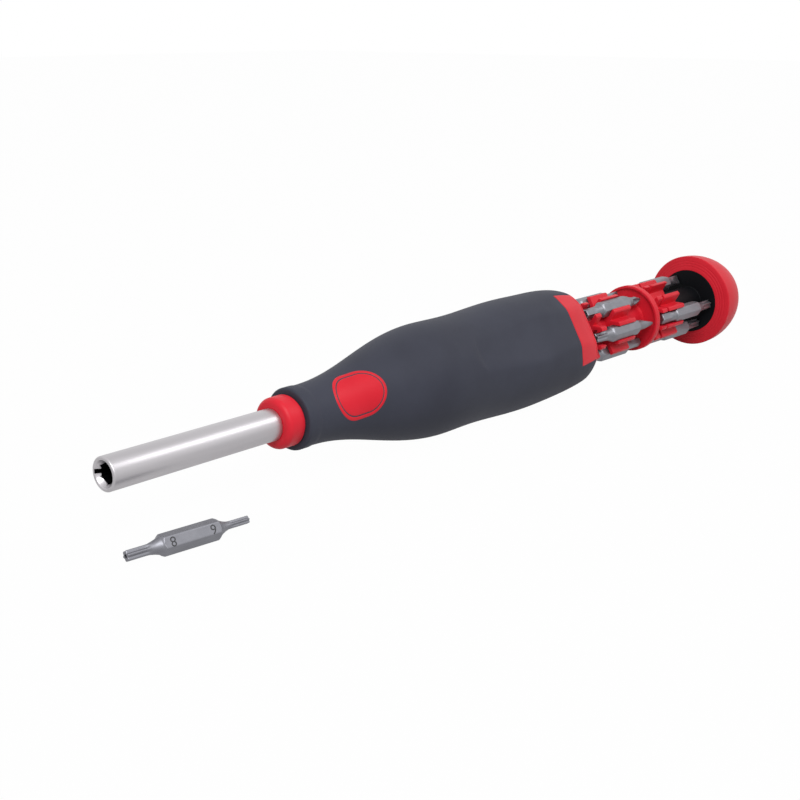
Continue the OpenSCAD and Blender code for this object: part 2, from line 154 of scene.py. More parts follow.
def around(x: Array, radius: Array, turn: Array) -> Array:
    """Points at a station, a radius and a turn in radians: (x, -r sin turn, r cos turn)."""
    return np.stack(np.broadcast_arrays(x, -radius * np.sin(turn), radius * np.cos(turn)), -1)


def spun(outline: Array, turn: Array) -> Array:
    """Rings of an outline's rows of station and radius, at turns in radians."""
    return around(outline[:, :1], outline[:, 1:], turn)


def about_axis(points: Array, degrees: float) -> Array:
    """Points turned about the driver's axis, with +Z going towards -Y.

    Args:
        points: points, one row each.
        degrees: angle of the turn.

    Returns:
        The turned points.
    """
    angle = math.radians(degrees)
    c, s = math.cos(angle), math.sin(angle)
    return points @ np.array([[1, 0, 0], [0, c, s], [0, -s, c]])


def tube(rings: Array, first: float | None = None, last: float | None = None, loop: bool = False) -> Surface:
    """Skin a row of closed rings with quads, and close its ends with fans.

    Args:
        rings: points by ring, by place on the ring and by axis.
        first: station of the point on the axis that closes the first ring, if any.
        last: station of the point on the axis that closes the last ring, if any.
        loop: whether the last ring joins the first one.

    Returns:
        The surface, facing outwards where the rings run along +X and their places run with the turn.
    """
    rows, cols = rings.shape[:2]
    index = np.arange(rows * cols).reshape(rows, cols)
    ahead = np.roll(index, -1, axis=1)
    stop = rows if loop else rows - 1
    below, below_ahead = np.roll(index, -1, axis=0), np.roll(ahead, -1, axis=0)
    quads = np.stack([index, ahead, below_ahead, below], -1)[:stop]
    points, faces = [rings.reshape(-1, 3)], [quads.reshape(-1, 4)]
    pole = rows * cols
    if first is not None:
        points.append(np.array([[first, 0.0, 0.0]]))
        faces.append(np.stack([np.full(cols, pole), ahead[0], index[0]], -1))
        pole += 1
    if last is not None:
        points.append(np.array([[last, 0.0, 0.0]]))
        faces.append(np.stack([np.full(cols, pole), index[-1], ahead[-1]], -1))
    return Surface(np.concatenate(points), faces)


def turned(outline: Array, columns: int) -> Surface:
    """Turn an open outline of stations and radii, with both ends on the axis, about the driver's axis."""
    return tube(spun(outline[1:-1], full_turn(columns)), outline[0, 0], outline[-1, 0])


def turned_loop(corners: Rows, setback: float, columns: int) -> Surface:
    """Turn a closed outline of stations and radii, rounded at its corners, about the driver's axis."""
    return tube(spun(soften(corners, setback, loop=True), full_turn(columns)), loop=True)


def plate(outline: Array, x0: float, x1: float, edge: float) -> Surface:
    """Thicken a closed outline along the axis, with quarter rounds on both of its edges.

    The outline runs with the turn. Each ring is the outline moved inwards along its normals by
    edge (1 - sin a), at a depth of edge (1 - cos a), for a from 0 to 90 degrees.

    Args:
        outline: rows of distance towards -Y and distance up.
        x0: front station.
        x1: rear station.
        edge: radius of the edges.

    Returns:
        The closed plate.
    """
    along = np.roll(outline, -1, axis=0) - np.roll(outline, 1, axis=0)
    along /= np.linalg.norm(along, axis=1)[:, None]
    normal = np.stack([-along[:, 1], along[:, 0]], -1)
    a = np.linspace(0, np.pi / 2, 4)
    depth = edge * (1 - np.cos(a))
    inset = edge * (1 - np.sin(a))
    x = np.concatenate([x0 + depth, (x1 - depth)[::-1]])
    inset = np.concatenate([inset, inset[::-1]])
    flat = outline[None] - inset[:, None, None] * normal[None]
    station = np.broadcast_to(x[:, None], flat.shape[:2])
    rings = np.stack([station, -flat[..., 0], flat[..., 1]], -1)
    skin = tube(rings)
    count = len(outline)
    ends = [np.arange(count)[None, ::-1], np.arange(count)[None] + (len(x) - 1) * count]
    return Surface(skin.points, skin.faces + ends)


def slab(outer: Array, inner: Array) -> Surface:
    """Close two grids that lie over each other into a slab with stitched sides.

    Args:
        outer: points of the outer face, by row along +X and by column with the turn.
        inner: points of the inner face on the same grid.

    Returns:
        The closed slab.
    """
    rows, cols = outer.shape[:2]
    count = rows * cols
    index = np.arange(count).reshape(rows, cols)
    top = np.stack([index[:-1, :-1], index[:-1, 1:], index[1:, 1:], index[1:, :-1]], -1).reshape(-1, 4)
    border = np.concatenate([index[0, :-1], index[:-1, -1], index[-1, :0:-1], index[:0:-1, 0]])
    ring = np.roll(border, -1)
    sides = np.stack([ring, border, border + count, ring + count], -1)
    points = np.concatenate([outer.reshape(-1, 3), inner.reshape(-1, 3)])
    return Surface(points, [top, (top + count)[:, ::-1], sides])


def linked(name: str, data: bpy.types.ID) -> bpy.types.Object:
    """A new object that carries the data, linked into the scene.

    Args:
        name: name of the object.
        data: its mesh, curve, light or camera.

    Returns:
        The new object.
    """
    item = bpy.data.objects.new(name, data)
    bpy.context.scene.collection.objects.link(item)
    return item


def add_piece(
    name: str, surface: Surface, material: bpy.types.Material, body: str, slot: str, *nodes: str
) -> None:
    """Make a finished piece of a surface, at the origin, and tie it to the frame.

    Args:
        name: name of the piece.
        surface: its shape in millimetres.
        material: its finish.
        body: the body that it rides on.
        slot: the record's slot of its finish; not used.
        nodes: the nodes that it stands for.
    """
    mesh = bpy.data.meshes.new(name)
    faces = [face for block in surface.faces for face in block.tolist()]
    mesh.from_pydata((surface.points * MM).tolist(), [], faces)
    mesh.shade_smooth()
    mesh.set_sharp_from_angle(angle=math.radians(SHARP_TURN))
    mesh.materials.append(material)
    piece = linked(name, mesh)
    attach(piece, body)
    if nodes:
        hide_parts(*nodes)
    LOG.info("%s: %d points, %d faces, rides on %s", name, len(mesh.vertices), len(mesh.polygons), body)


# Finishes


class Bench:
    """Cleared node tree of a material or world, with short calls that add nodes and join them."""

    def __init__(self, owner: bpy.types.Material | bpy.types.World) -> None:
        """Switch the owner to nodes and clear its tree.

        Args:
            owner: the material or world.
        """
        owner.use_nodes = True
        self.tree = owner.node_tree
        self.tree.nodes.clear()

    def node(self, kind: str, inputs: Inputs) -> bpy.types.Node:
        """Add a shader node.

        Args:
            kind: its type, without the word that every shader node's type starts with.
            inputs: a constant or another node's output, by the name or number of each input.

        Returns:
            The new node.
        """
        node = self.tree.nodes.new(f"ShaderNode{kind}")
        for key, value in inputs.items():
            if isinstance(value, Socket):
                self.tree.links.new(value, node.inputs[key])
            else:
                node.inputs[key].default_value = value
        return node

    def calc(self, operation: str, *values: float | Socket) -> Socket:
        """Result of a calculation with constants or other nodes' outputs.

        Args:
            operation: name of the calculation.
            values: what it works on, in order.

        Returns:
            The output with the result.
        """
        node = self.node("Math", dict(enumerate(values)))
        node.operation = operation
        return node.outputs[0]


@dataclass(frozen=True)
class Noise:
    """Noise with its own cells per metre along the driver and across it, and octaves of detail."""

    along: float
    across: float
    detail: float

    def value(self, bench: Bench) -> Socket:
        """The noise in Object coordinates, with values from 0 to 1.

        Args:
            bench: the node tree that it goes into.

        Returns:
            The output with the noise.
        """
        place = bench.node("TexCoord", {}).outputs["Object"]
        scale = (self.along, self.across, self.across)
        mapped = bench.node("Mapping", {"Vector": place, "Scale": scale}).outputs["Vector"]
        return bench.node("TexNoise", {"Vector": mapped, "Scale": 1.0, "Detail": self.detail}).outputs["Fac"]


class Finish:
    """Material with a tint between two colours, and a grain in its roughness and relief."""

    name: str
    dark: Colour
    light: Colour
    tint: Noise
    grain: Noise
    rough: Pair
    relief: float = 0.0
    relief_mm: float = 0.004
    tint_stops: Pair = (0.3, 0.7)
    grain_stops: Pair = (0.3, 0.7)
    metallic: float = 0.0
    ior: float = 1.5
    specular: float = 0.5

    def material(self) -> bpy.types.Material:
        """Make the material: its colour follows the tint, and its roughness and relief the grain.

        Returns:
            The new material.
        """
        material = bpy.data.materials.new(self.name)
        bench = Bench(material)
        grain = self.grain.value(bench)
        ramp = bench.node("ValToRGB", {"Fac": self.tint.value(bench)})
        for element, place, colour in zip(ramp.color_ramp.elements, self.tint_stops, (self.dark, self.light)):
            element.position = place
            element.color = (*colour, 1.0)
        levels = (*self.grain_stops, *self.rough)
        spread = dict(zip(("From Min", "From Max", "To Min", "To Max"), levels))
        inputs: Inputs = {
            "Base Color": ramp.outputs["Color"],
            "Roughness": bench.node("MapRange", {"Value": grain, **spread}).outputs["Result"],
            "Metallic": self.metallic,
            "IOR": self.ior,
            "Specular IOR Level": self.specular,
        }
        if self.relief > 0:
            height = {"Height": grain, "Strength": self.relief, "Distance": self.relief_mm * MM}
            inputs["Normal"] = bench.node("Bump", height).outputs["Normal"]
        shader = bench.node("BsdfPrincipled", inputs)
        bench.node("OutputMaterial", {"Surface": shader.outputs["BSDF"]})
        return material


class BrushedSteel(Finish):
    """Satin steel with fine rings turned round the shaft and faint streaks along it."""

    name = "shaft_steel_brushed"
    dark = (0.47, 0.453, 0.472)
    light = (0.56, 0.541, 0.562)
    tint = Noise(14.0, 280.0, 2.0)
    grain = Noise(6500.0, 160.0, 2.0)
    rough = (0.32, 0.42)
    relief = 0.02
    metallic = 1.0


class SocketShade(Finish):
    """Near-black painted shade on the wall of the socket, with fine broach lines along it."""

    name = "socket_painted_shade"
    # Near-black colours that paint the shade inside the socket
    dark = (0.004, 0.004, 0.005)
    light = (0.012, 0.012, 0.013)
    tint = Noise(300.0, 4500.0, 2.0)
    grain = Noise(300.0, 4500.0, 2.0)
    rough = (0.55, 0.75)
    relief = 0.2
    tint_stops = (0.35, 0.65)
    metallic = 1.0


class SatinSteel(Finish):
    """Grey satin steel of the bits, with fine draw lines along them."""

    name = "bit_steel_satin"
    dark = (0.218, 0.219, 0.242)
    light = (0.250, 0.252, 0.278)
    tint = Noise(420.0, 420.0, 4.0)
    grain = Noise(260.0, 4200.0, 3.0)
    rough = (0.42, 0.54)
    relief = 0.1
    metallic = 1.0


class PlatedMagnet(Finish):
    """Plated skin of the magnet, lightly scuffed."""

    name = "magnet_plating"
    dark = (0.42, 0.42, 0.43)
    light = (0.66, 0.66, 0.67)
    tint = Noise(1500.0, 1500.0, 5.0)
    grain = Noise(1500.0, 1500.0, 5.0)
    rough = (0.16, 0.34)
    relief = 0.15
    tint_stops = (0.35, 0.65)
    metallic = 1.0


class RedPlastic(Finish):
    """Moulded red plastic with a faint cloud in its colour and a fine eroded skin."""

    name = "red_plastic_moulded"
    dark = (0.62, 0.010, 0.024)
    light = (0.71, 0.017, 0.034)
    tint = Noise(70.0, 70.0, 4.0)
    grain = Noise(5200.0, 5200.0, 2.0)
    rough = (0.38, 0.5)
    relief = 0.12
    relief_mm = 0.008
    specular = 0.25


class SoftGrip(Finish):
    """Slate-grey soft-touch rubber with a fine matt grain, rubbed a little lighter in patches."""

    name = "grip_rubber_soft"
    dark = (0.034, 0.036, 0.051)
    light = (0.046, 0.049, 0.069)
    tint = Noise(55.0, 55.0, 5.0)
    grain = Noise(7000.0, 7000.0, 2.0)
    rough = (0.54, 0.68)
    relief = 0.14
    relief_mm = 0.01
    ior = 1.45
    specular = 0.24


class BlackPlastic(Finish):
    """Black moulded plastic with a fine matt skin."""

    name = "black_plastic_moulded"
    dark = (0.003, 0.0033, 0.0042)
    light = (0.006, 0.0063, 0.008)
    tint = Noise(90.0, 90.0, 4.0)
    grain = Noise(5600.0, 5600.0, 2.0)
    rough = (0.42, 0.56)
    relief = 0.12
    relief_mm = 0.008
    specular = 0.08


class DarkMark(Finish):
    """Dark etched figures, slightly broken by the steel's grain."""

    name = "size_mark_etched"
    dark = (0.022, 0.022, 0.025)
    light = (0.075, 0.076, 0.082)
    tint = Noise(5200.0, 5200.0, 3.0)
    grain = Noise(5200.0, 5200.0, 3.0)
    rough = (0.5, 0.7)
    tint_stops = (0.4, 0.72)


class Shelf:
    """All finishes of the driver, each made once."""

    def __init__(self) -> None:
        """Make every finish."""
        self.shaft = BrushedSteel().material()
        # Painted shade for the inside of the socket
        self.socket = SocketShade().material()
        self.bit = SatinSteel().material()
        self.magnet = PlatedMagnet().material()
        self.red = RedPlastic().material()
        self.grip = SoftGrip().material()
        self.black = BlackPlastic().material()
        self.mark = DarkMark().material()


# Sub-assemblies


@dataclass
class Shaft:
    """Steel shaft with a countersunk hexagonal socket and its magnet."""

    radius: float = 3.6
    rim_round: float = 0.35
    shoulder_x: float = 43.97
    shoulder_bevel: float = 0.12
    tang_r: float = 3.3
    tang_bevel: float = 0.3
    length: float = 76.0
    socket_flat: float = 2.05
    socket_depth: float = 18.0
    mouth_r: float = 2.9
    mouth_depth: float = 1.2
    mouth_bevel: float = 0.015
    notch_half: float = 0.45
    notch_l: float = 3.0
    notch_turn: float = 1.5 * math.pi
    skin: float = 0.03
    skin_gap: float = 0.1
    magnet_r: float = 1.9
    magnet_l: float = 4.97
    magnet_round: float = 0.25
    columns: int = 360
    depths: tuple[float, ...] = (0.06, 0.2, 0.4, 0.6, 0.8, 1.0, 1.2, 1.3, 1.8, 2.4, 3.0, 3.02, 6.0, 12.0)

    def bore(self, x: Array, turn: Array) -> tuple[Array, Array]:
        """Radius of the socket: the largest of the hexagon, the countersink's cone and the notch.

        Args:
            x: depths from the mouth.
            turn: angles in radians. The notch opens towards +Y, at three quarters of a turn.

        Returns:
            The radius at each depth and turn, and whether it lies past the countersink or in the notch, where
            the skin of painted shade shows.
        """
        hexagon = polygon_radius(self.socket_flat, 6, turn)
        cone = self.mouth_r - (self.mouth_r - self.socket_flat) * x / self.mouth_depth
        side = np.abs(np.sin(turn - self.notch_turn))
        ahead = np.cos(turn - self.notch_turn)
        wall = self.notch_half / np.maximum(side, TINY)
        reach = np.minimum(wall, self.mouth_r / np.maximum(ahead, TINY))
        notch = np.where((ahead > 0) & (x <= self.notch_l), reach, 0)
        open_r = np.maximum(hexagon, cone)
        return np.maximum(open_r, notch), (x >= self.mouth_depth) | (notch > open_r)

    def tube(self) -> Surface:
        """Skin from the bottom of the socket out through its mouth, over the rim and back to the tang.

        Returns:
            The closed shaft with its socket.
        """
        turn = full_turn(self.columns)
        depth = np.array([self.socket_depth, *self.depths[::-1]])[:, None]
        inside = around(depth, self.bore(depth, turn)[0], turn)
        bevel, r = self.mouth_bevel, self.radius
        skin = np.concatenate([
            [[bevel, self.mouth_r + bevel], [0.0, self.mouth_r + 4 * bevel]],
            front_round(0.0, r, self.rim_round, 7),
            [[10.0, r], [25.0, r], [self.shoulder_x - self.shoulder_bevel, r]],
            [[self.shoulder_x, r - self.shoulder_bevel], [self.shoulder_x, self.tang_r]],
            [[self.length - self.tang_bevel, self.tang_r], [self.length, self.tang_r - self.tang_bevel]],
        ])
        rings = np.concatenate([inside, spun(skin, turn)])
        return tube(rings, self.socket_depth, self.length)

    def lining(self) -> Surface:
        """Thin skin of near-black painted shade over the hexagon and the notch. On the countersink it runs
        hidden in the steel.

        Returns:
            The closed skin.
        """
        turn = full_turn(self.columns)
        x = np.array([*self.depths, self.socket_depth - self.skin_gap])[:, None]
        wall, shown = self.bore(x, turn)
        # The painted shade stands just inside the bore where it shows, and lies hidden in the steel elsewhere
        inner = wall + np.where(shown, -self.skin, self.skin)
        rings = np.concatenate([around(x, wall + 2 * self.skin, turn), around(x, inner, turn)[::-1]])
        return tube(rings, loop=True)

    def magnet(self) -> Surface:
        """Round magnet with softened edges at the bottom of the socket.

        Returns:
            The closed magnet.
        """
        end = self.socket_depth + self.magnet_l
        corners = stepped(0, self.socket_depth, self.magnet_r, end, 0)
        return turned(soften(corners, self.magnet_round), 96)

    def build(self, shelf: Shelf) -> None:
        """Make and dress the shaft, the skin of painted shade in its socket and its magnet.

        Args:
            shelf: the finishes.
        """
        add_piece("shaft_tube", self.tube(), shelf.shaft, "handle", "shaft_steel", "shaft")
        # Near-black skin that paints the shade inside the socket
        add_piece("socket_shade_lining", self.lining(), shelf.socket, "handle", "shaft_steel")
        add_piece("socket_magnet", self.magnet(), shelf.magnet, "handle", "magnet", "bit_magnet")


@dataclass
class Handle:
    """Red core with its collar, badge and windows, the soft grip over it and the ring behind it."""

    collar_x: float = 44.0
    collar_end_x: float = 48.5
    collar_r: float = 5.75
    collar_round: float = 1.3
    groove_r: float = 5.2
    bore_r: float = 3.33
    bore_end_x: float = 76.03
    bore_bevel: float = 0.12
    grip_x: float = 49.0
    lip_r: float = 7.05
    lip_round: float = 0.6
    stations: tuple[float, ...] = (51.5, 53.0, 95.0, 104.0, 126.996, 138.996)
    radii: tuple[float, ...] = (7.05, 6.9, 13.9, 13.8, 14.65, 14.5)
    round_l: float = 12.2
    end_r: float = 12.5
    core_end_x: float = 150.396
    end_x: float = 151.196
    core_r: float = 11.07
    cavity_r: float = 10.17
    cavity_x: float = 80.23
    head_bore_r: float = 4.5
    head_bore_x: float = 79.13
    opening_r: float = 9.81
    grip_wall: float = 0.9
    seam: float = 0.03
    edge_depth: float = 0.1
    edge_w: float = 0.25
    ring_edge_w: float = 0.2
    ring_round: float = 0.35
    ring_fall: float = 0.3
    column_step: float = 1.25
    flat_pitch: float = 120.0
    flat_dist: float = 13.25
    flat_front_x: float = 100.0
    flat_half: float = 8.5
    flat_lift: float = 1.2
    flat_blend: Pair = (-1.6, 2.2)
    fall_x: float = 132.196
    fall_l: float = 20.0
    fall_depth: float = 2.5
    shoulder_turn: float = 24.0
    shoulder_dist: float = 14.8
    shoulder_x: float = 122.196
    shoulder_l: float = 30.0
    shoulder_fall: float = 2.7
    softness: float = 0.5
    window_x: float = 142.196
    window_half: float = 45.0
    window_depth: float = 0.4
    window_rim: float = 0.12
    window_clear: float = 1.2
    badge_x: float = 64.5
    badge_turn: float = 60.0
    badge_l: float = 14.0
    badge_w: float = 11.0
    badge_proud: float = 0.07
    badge_under: float = 0.6
    badge_edge: Pair = (0.3, 0.32)
    badge_groove: tuple[float, float, float] = (0.12, 0.95, 0.16)

    def profile(self, x: Array) -> Array:
        """Radius of the handle before its flats: cosine runs between stations, then a quarter ellipse.

        Args:
            x: stations.

        Returns:
            The radius at each station.
        """
        stations, radii = np.array(self.stations), np.array(self.radii)
        step = np.clip(np.searchsorted(stations, x, side="right") - 1, 0, len(stations) - 2)
        share = np.clip((x - stations[step]) / (stations[step + 1] - stations[step]), 0, 1)
        run = radii[step] + (radii[step + 1] - radii[step]) * (1 - np.cos(np.pi * share)) / 2
        fall = np.clip((x - stations[-1]) / self.round_l, 0, 1)
        end = self.end_r + (radii[-1] - self.end_r) * np.sqrt(1 - fall * fall)
        return np.where(x > stations[-1], end, run)

    def middles(self) -> Array:
        """Turns in degrees of the middles of the three flats: 60, 180 and 300."""
        return self.flat_pitch * (np.arange(3) + 0.5)

    def aside(self, turn: Array) -> Array:
        """Angle in degrees to the middle of the nearest flat."""
        return np.abs(np.mod(turn, self.flat_pitch) - self.flat_pitch / 2)

    def radius(self, x: Array, turn: Array) -> Array:
        """Radius of the handle with its three thumb flats.

        A flat at distance D from the axis stands at D over the cosine of the angle to its middle.
        Each has a round front end and falls away at the rear along a parabola, with a falling
        shoulder on both sides. The smallest of all these radii holds, with soft edges.

        Args:
            x: stations.
            turn: turns in degrees.

        Returns:
            The radius at each station and turn.
        """
        whole = self.profile(x)
        aside = self.aside(turn)
        cosine = np.cos(np.radians(aside))
        dist = self.flat_dist - self.fall_depth * (np.clip(x - self.fall_x, 0, None) / self.fall_l) ** 2
        across = np.clip(dist * np.tan(np.radians(aside)), 0, self.flat_half)
        front = self.flat_front_x + self.flat_half - np.sqrt(self.flat_half ** 2 - across ** 2)
        lift = self.flat_lift * (1 - smooth_step(*self.flat_blend, x - front))
        drop = self.shoulder_fall * (np.clip(x - self.shoulder_x, 0, None) / self.shoulder_l) ** 2
        shoulder = (self.shoulder_dist - drop) / np.cos(np.radians(aside - self.shoulder_turn))
        cut = soft_min(whole, (dist + lift) / cosine, self.softness)
        return soft_min(cut, shoulder, self.softness)

    def outside_window(self, x: Array, turn: Array) -> Array:
        """Distance in millimetres outside the nearest window's edge, negative inside it."""
        sides = (self.aside(turn) - self.window_half) * np.radians(self.end_r)
        return np.maximum(self.window_x - x, sides)

    def grip_columns(self) -> Array:
        """Turns of the grip's grid in degrees: even steps, and closer ones beside the windows.

        Returns:
            The turns in rising order.
        """
        beside = self.window_half + np.array([1.0, 0.55, 0.2, 0.0, -0.12])
        middles = self.middles()[:, None]
        close = np.concatenate([middles - beside, middles + beside]).ravel()
        even = np.arange(0.0, 360.0, self.column_step)
        far = np.abs(self.aside(even) - self.window_half) > self.window_clear
        return np.sort(np.concatenate([even[far], close]))

    def grip(self) -> Surface:
        """Grip as a closed loop of rings: front lip, outer form, rear edge and the hollow over the core.

        Inside a window the outer form steps down by the window's depth, and its rim is rounded
        by a parabola of the distance to the window's edge. The hollow stays below the step.

        Returns:
            The closed grip.
        """
        turn = self.grip_columns()[None]
        angle = np.radians(turn)
        face = [[self.grip_x, self.groove_r + 0.05], [self.grip_x, self.groove_r + 0.6]]
        front = np.concatenate([face, front_round(self.grip_x, self.lip_r, self.lip_round, 6)])
        beside = np.array([1.0, 0.5, 0.25, 0.1, 0.0, -0.03])
        x = np.concatenate([
            [50.2, 50.8, 51.2], np.linspace(*self.stations[:2], 7), np.linspace(53.6, 97.0, 66),
            np.linspace(97.5, 112.0, 40), np.linspace(112.8, 141.0, 48), self.window_x - beside,
            np.linspace(142.7, 149.9, 22), self.core_end_x - np.array([0.25, 0.12, 0.04, 0.0]),
        ])[:, None]
        apart = self.outside_window(x, turn)
        rim = edge_fall(apart, self.window_rim, self.edge_w)
        rear = edge_fall(self.core_end_x - x, self.edge_depth, self.edge_w)
        outer = self.radius(x, turn) - np.where(apart < -TINY, self.window_depth, rim) - rear
        middle_x = [148.0, 145.0, 142.0, 120.0, 97.0, 93.0, 89.0, *np.arange(85.0, 54.0, -5.0)]
        back_x = np.array([self.core_end_x, *middle_x, self.stations[1]])[:, None]
        seat = np.minimum(self.core_r, self.profile(back_x) - self.grip_wall) + self.seam
        back_r = np.minimum(seat, self.radius(back_x, turn) - self.window_depth - 0.2)
        rings = [spun(front, angle), around(x, outer, angle), around(back_x, back_r, angle)]
        return tube(np.concatenate(rings), loop=True)

    def window(self, middle: float) -> Surface:
        """Slab of the core that fills a window flush with the grip, with a fine rounded edge.

        Args:
            middle: turn of the window's middle in degrees.

        Returns:
            The closed slab.
        """
        edge = np.array([0.04, 0.1, 0.18, 0.3, 0.5])
        even = np.linspace(self.window_x + 0.8, self.core_end_x - 0.8, 24)
        x = np.concatenate([self.window_x + edge, even, (self.core_end_x - edge)[::-1]])[:, None]
        side = self.window_half - np.array([0.16, 0.4, 0.8, 1.3, 2.0])
        across = np.linspace(3.0 - self.window_half, self.window_half - 3.0, 70)
        turn = middle + np.concatenate([-side, across, side[::-1]])[None]
        inside = np.minimum(-self.outside_window(x, turn), self.core_end_x - x) - self.seam
        whole = self.radius(x, turn)
        outer = whole - edge_fall(inside, self.edge_depth, self.edge_w)
        inner = whole - self.window_depth + 0.02
        return slab(around(x, outer, np.radians(turn)), around(x, inner, np.radians(turn)))

    def badge(self) -> Surface:
        """Plain oval badge laid over the flare, with a fine groove inside its edge.

        The grid runs along the badge by row and across it by column. A column's half length is
        that of a pill: half the straight part plus the half chord of its round end. The groove is
        a bell curve of the distance to the edge. The badge stands slightly proud, and falls below
        the grip at its edge along a parabola.

        Returns:
            The closed badge.
        """
        half_w, straight = self.badge_w / 2, (self.badge_l - self.badge_w) / 2
        across = half_w * np.sin(np.linspace(-np.pi / 2, np.pi / 2, 90))[None]
        length = straight + np.sqrt(np.clip(half_w ** 2 - across ** 2, 0, None))
        along = np.sin(np.linspace(-np.pi / 2, np.pi / 2, 130))[:, None] * length
        x = self.badge_x + along
        across = np.broadcast_to(across, x.shape)
        beyond = np.clip(np.abs(along) - straight, 0, None)
        inside = half_w - np.sqrt(beyond ** 2 + across ** 2)
        form = self.profile(x)
        turn = np.radians(self.badge_turn) + np.arcsin(across / form)
        depth, inset, width = self.badge_groove
        groove = depth * np.exp(-(((inside - inset) / width) ** 2))
        outer = form + self.badge_proud - edge_fall(inside, *self.badge_edge) - groove
        return slab(around(x, outer, turn), around(x, form - self.badge_under, turn))

    def core(self) -> Surface:
        """Collar with a rounded front, the bottom of the groove and the hollow core, as one outline.

        Returns:
            The closed core without its windows and badge.
        """
        flare = np.arange(54.0, 96.0, 3.0)
        flare_r = np.minimum(self.core_r, self.profile(flare) - self.grip_wall)
        front, groove = self.collar_x, self.groove_r
        hollow = (self.cavity_r, self.cavity_x, self.head_bore_r)
        edge = [self.collar_end_x, self.collar_r] - np.array([[0.25, 0.0], [0.08, 0.03], [0.0, 0.11]])
        outline = np.concatenate([
            [[self.bore_end_x, 0], [self.bore_end_x, self.bore_r], [front + self.bore_bevel, self.bore_r]],
            [[front, self.bore_r + self.bore_bevel], [front, self.bore_r + 0.3]],
            front_round(front, self.collar_r, self.collar_round, 8),
            edge,
            [[self.collar_end_x, groove], [self.grip_x, groove], [self.stations[1], groove]],
            np.stack([flare, flare_r], -1),
            stepped(self.core_r, self.core_end_x, *hollow, self.head_bore_x, 0),
        ])
        return turned(outline, 192)

    def ring(self) -> Surface:
        """Ring behind the grip, on the handle's own form, with rounded edges round its mouth.

        Returns:
            The closed ring.
        """
        turn = np.arange(0.0, 360.0, self.column_step)[None]
        start = self.core_end_x + self.seam
        x = start + np.array([0.0, 0.03, 0.09, 0.18, 0.3, 0.42, 0.53, 0.62, 0.7, 0.75, 0.77])[:, None]
        front = edge_fall(x - start, self.edge_depth, self.ring_edge_w)
        share = np.clip((x - self.end_x + self.ring_round) / self.ring_round, 0, 1)
        rear = self.ring_fall * (1 - np.sqrt(1 - share ** 2))
        form = self.radius(np.minimum(x, self.end_x - 0.1), turn) - front - rear
        mouth = np.array([self.end_x, self.opening_r]) + np.array([
            [0.0, 0.29], [-0.04, 0.09], [-0.15, 0.02], [-0.3, 0.0], [-0.77, 0.0],
        ])
        rings = [around(x, form, np.radians(turn)), spun(mouth, np.radians(turn))]
        return tube(np.concatenate(rings), loop=True)

    def build(self, shelf: Shelf) -> None:
        """Make and dress the core, the grip and the end ring.

        Args:
            shelf: the finishes.
        """
        red = self.core()
        for middle in self.middles():
            red += self.window(middle)
        add_piece("core_moulding", red + self.badge(), shelf.red, "handle", "red_plastic", "handle_core")
        add_piece("soft_grip", self.grip(), shelf.grip, "handle", "grip_rubber", "grip_sleeve")
        add_piece("mouth_ring", self.ring(), shelf.red, "handle", "red_plastic", "end_ring")


@dataclass
class ClipStar:
    """Six forked clips round a hub, one for each bit of a row."""

    slot_half: float = 2.05
    finger_w: float = 1.15
    finger_r: float = 9.1
    pitch_r: float = 7.2
    first_turn: float = 30.0
    places: int = 6

    def outline(self) -> Array:
        """Outline of the star, with rounded finger tips.

        One place runs from the V at the bottom of its slot, up the slot's side, round the
        finger's tip and down to the gap before the next place, and then back in mirror order.

        Returns:
            Rows of distance towards -Y and distance up, as plate takes them.
        """
        s, outer = self.slot_half, self.finger_r
        b = s + self.finger_w
        half = np.pi / self.places
        corner = s / math.cos(math.radians(HALF_SIDE))
        v_low, v_side = self.pitch_r - corner, self.pitch_r - corner / 2
        side = np.array([
            [s, v_side], [s, math.sqrt(outer ** 2 - s ** 2)], [b, math.sqrt(outer ** 2 - b ** 2)],
        ])
        place = np.concatenate([[[0, v_low]], side, [[b, b / math.tan(half)]]])
        mirror = side[::-1] * [-1, 1]
        turns = np.radians(self.first_turn) + 2 * half * np.arange(self.places)[:, None]
        near = self.carried(place, turns)
        far = self.carried(mirror, turns + 2 * half)
        corners = np.concatenate([near, far], axis=1).reshape(-1, 2)
        setbacks = np.tile([0.15, 0.3, 0.28, 0.4, 0.3, 0.4, 0.28, 0.3], self.places)
        return soften(corners, setbacks, 5, loop=True)

    def carried(self, points: Array, turns: Array) -> Array:
        """Points of one place, tangential and radial, carried round to each turn."""
        u, v = points[None, :, 0], points[None, :, 1]
        return np.stack([v * np.sin(turns) + u * np.cos(turns), v * np.cos(turns) - u * np.sin(turns)], -1)


